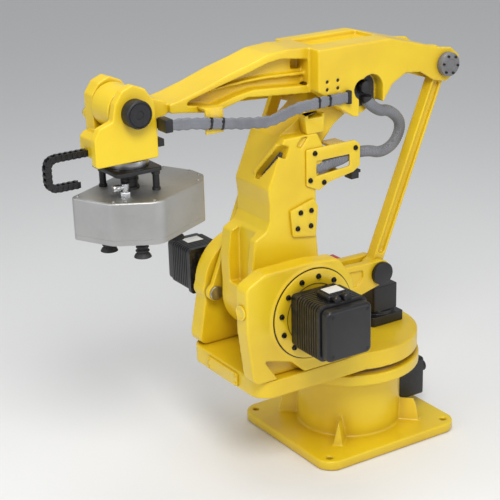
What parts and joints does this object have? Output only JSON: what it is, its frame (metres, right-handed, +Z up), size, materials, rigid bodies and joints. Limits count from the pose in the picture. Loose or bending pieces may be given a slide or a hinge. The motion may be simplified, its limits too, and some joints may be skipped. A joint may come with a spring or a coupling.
{
  "type": "parallel-link packing robot arm",
  "caption": "Yellow four-axis parallel-link packing robot arm: swivelling base, leaning lower arm, crank and rod, long upper arm, level wrist and a vacuum gripper.",
  "frame": {"origin": "on the floor under the base, on the first axis", "axes": "+Z up along the first axis, +X the way the arm faces, +Y to the arm's left"},
  "size_m": [1.399, 0.808, 1.357],
  "materials": {
    "arm_yellow_paint": "semi-gloss paint over cast aluminium",
    "yellow_paint": "semi-gloss paint over a cast surface",
    "hub_yellow": "semi-gloss paint over a machined surface",
    "black_paint": "satin black",
    "steel": "machined",
    "stainless": "brushed",
    "grey_hose": "woven sleeve",
    "cable": "matt",
    "rubber": "matt",
    "red_paint": "gloss",
    "label": "blank",
    "grey_cap": "satin"
  },
  "bodies": {
    "base": {"base_casting": "yellow_paint", "connector_panel": "black_paint", "base_connectors": "black_paint", "first_axis_ring": "steel"},
    "turntable": {"turntable_casting": "yellow_paint", "first_axis_motor": "black_paint", "left_ear": "yellow_paint", "right_ear": "yellow_paint", "left_hub_flange": "hub_yellow", "left_hub_bolts": "steel", "right_hub_flange": "hub_yellow", "right_hub_bolts": "steel", "crank_motor": "black_paint", "arm_motor": "black_paint", "motor_labels": "label", "round_cover": "yellow_paint", "front_cover": "yellow_paint", "transport_bracket": "red_paint", "link_foot_pin": "steel"},
    "lower_arm": {"lower_arm_casting": "arm_yellow_paint", "arm_output_flange": "steel", "side_pad": "yellow_paint", "side_pad_bolts": "steel", "hose_bracket": "yellow_paint", "hose_bracket_bolts": "steel", "arm_cable_box": "yellow_paint", "lower_duct": "grey_hose", "arm_connector": "black_paint"},
    "crank": {"crank": "yellow_paint", "crank_cable_loop": "cable"},
    "crank_pin": {"crank_pin": "black_paint"},
    "rod": {"rod": "yellow_paint"},
    "elbow_rocker": {"elbow_shaft": "steel", "levelling_rocker": "yellow_paint", "rocker_pins": "steel", "duct_elbow": "grey_hose", "elbow_hose": "grey_hose"},
    "lower_link": {"lower_link": "yellow_paint"},
    "upper_link": {"upper_link": "yellow_paint"},
    "upper_arm": {"upper_arm_casting": "arm_yellow_paint", "lever_pin": "grey_cap", "lever_pin_bolts": "steel", "flat_conduit": "grey_hose", "conduit_clamps": "black_paint", "conduit_stays": "yellow_paint"},
    "wrist": {"wrist_housing": "arm_yellow_paint", "wrist_pin": "steel", "wrist_caps": "black_paint", "wrist_link_pin": "steel", "tool_motor": "black_paint", "wrist_connectors": "black_paint", "cable_chain": "black_paint", "wrist_conduit": "grey_hose"},
    "tool": {"tool_flange": "steel", "adapter_plate": "black_paint", "gripper_housing": "stainless", "gripper_base": "stainless", "standoffs": "black_paint", "vacuum_fitting": "steel", "suction_cups": "rubber"}
  },
  "joints": [
    {"name": "axis_1", "type": "hinge", "parent": "base", "child": "turntable", "pos_m": [0, 0, 0.2965], "axis": [0, 0, 1], "range_deg": [-160, 160]},
    {"name": "axis_2", "type": "hinge", "parent": "turntable", "child": "lower_arm", "pos_m": [0.3, 0, 0.56], "axis": [0, 1, 0], "range_deg": [-5, 55]},
    {"name": "elbow_level", "type": "hinge", "parent": "lower_arm", "child": "elbow_rocker", "pos_m": [0.03212, 0, 1.20672], "axis": [0, 1, 0], "range_deg": [-56, 6], "deforming": ["elbow_hose"]},
    {"name": "axis_3", "type": "hinge", "parent": "elbow_rocker", "child": "upper_arm", "pos_m": [0.03212, 0, 1.20672], "axis": [0, 1, 0], "range_deg": [-25, 10]},
    {"name": "wrist_level", "type": "hinge", "parent": "upper_arm", "child": "wrist", "pos_m": [0.81566, 0, 1.25464], "axis": [0, 1, 0], "range_deg": [-11, 26], "deforming": ["wrist_conduit"]},
    {"name": "axis_4", "type": "hinge", "parent": "wrist", "child": "tool", "pos_m": [0.8, 0, 1.1], "axis": [0, 0, 1], "range_deg": [-180, 180]},
    {"name": "crank_turn", "type": "hinge", "parent": "turntable", "child": "crank", "pos_m": [0.3, 0, 0.56], "axis": [0, 1, 0], "range_deg": [-26, 11]},
    {"name": "crank_pin_turn", "type": "hinge", "parent": "crank", "child": "crank_pin", "pos_m": [-0.03083, 0.1, 0.59331], "axis": [0, 1, 0], "range_deg": [-11, 26]},
    {"name": "rod_turn", "type": "hinge", "parent": "crank_pin", "child": "rod", "pos_m": [-0.03083, 0.084, 0.59331], "axis": [0, 1, 0], "range_deg": [-6, 56]},
    {"name": "lower_link_turn", "type": "hinge", "parent": "turntable", "child": "lower_link", "pos_m": [0.445, -0.132, 0.554], "axis": [0, 1, 0], "range_deg": [-6, 56]},
    {"name": "upper_link_turn", "type": "hinge", "parent": "elbow_rocker", "child": "upper_link", "pos_m": [0.04212, -0.177, 1.15672], "axis": [0, 1, 0], "range_deg": [-26, 11]}
  ],
  "couplings": [
    {"joint": "elbow_level", "follows": "axis_2", "ratio": -1},
    {"joint": "rod_turn", "follows": "axis_2", "ratio": 1},
    {"joint": "lower_link_turn", "follows": "axis_2", "ratio": 1},
    {"joint": "wrist_level", "follows": "axis_3", "ratio": -1},
    {"joint": "crank_turn", "follows": "axis_3", "ratio": 1},
    {"joint": "crank_pin_turn", "follows": "axis_3", "ratio": -1},
    {"joint": "upper_link_turn", "follows": "axis_3", "ratio": 1}
  ]
}
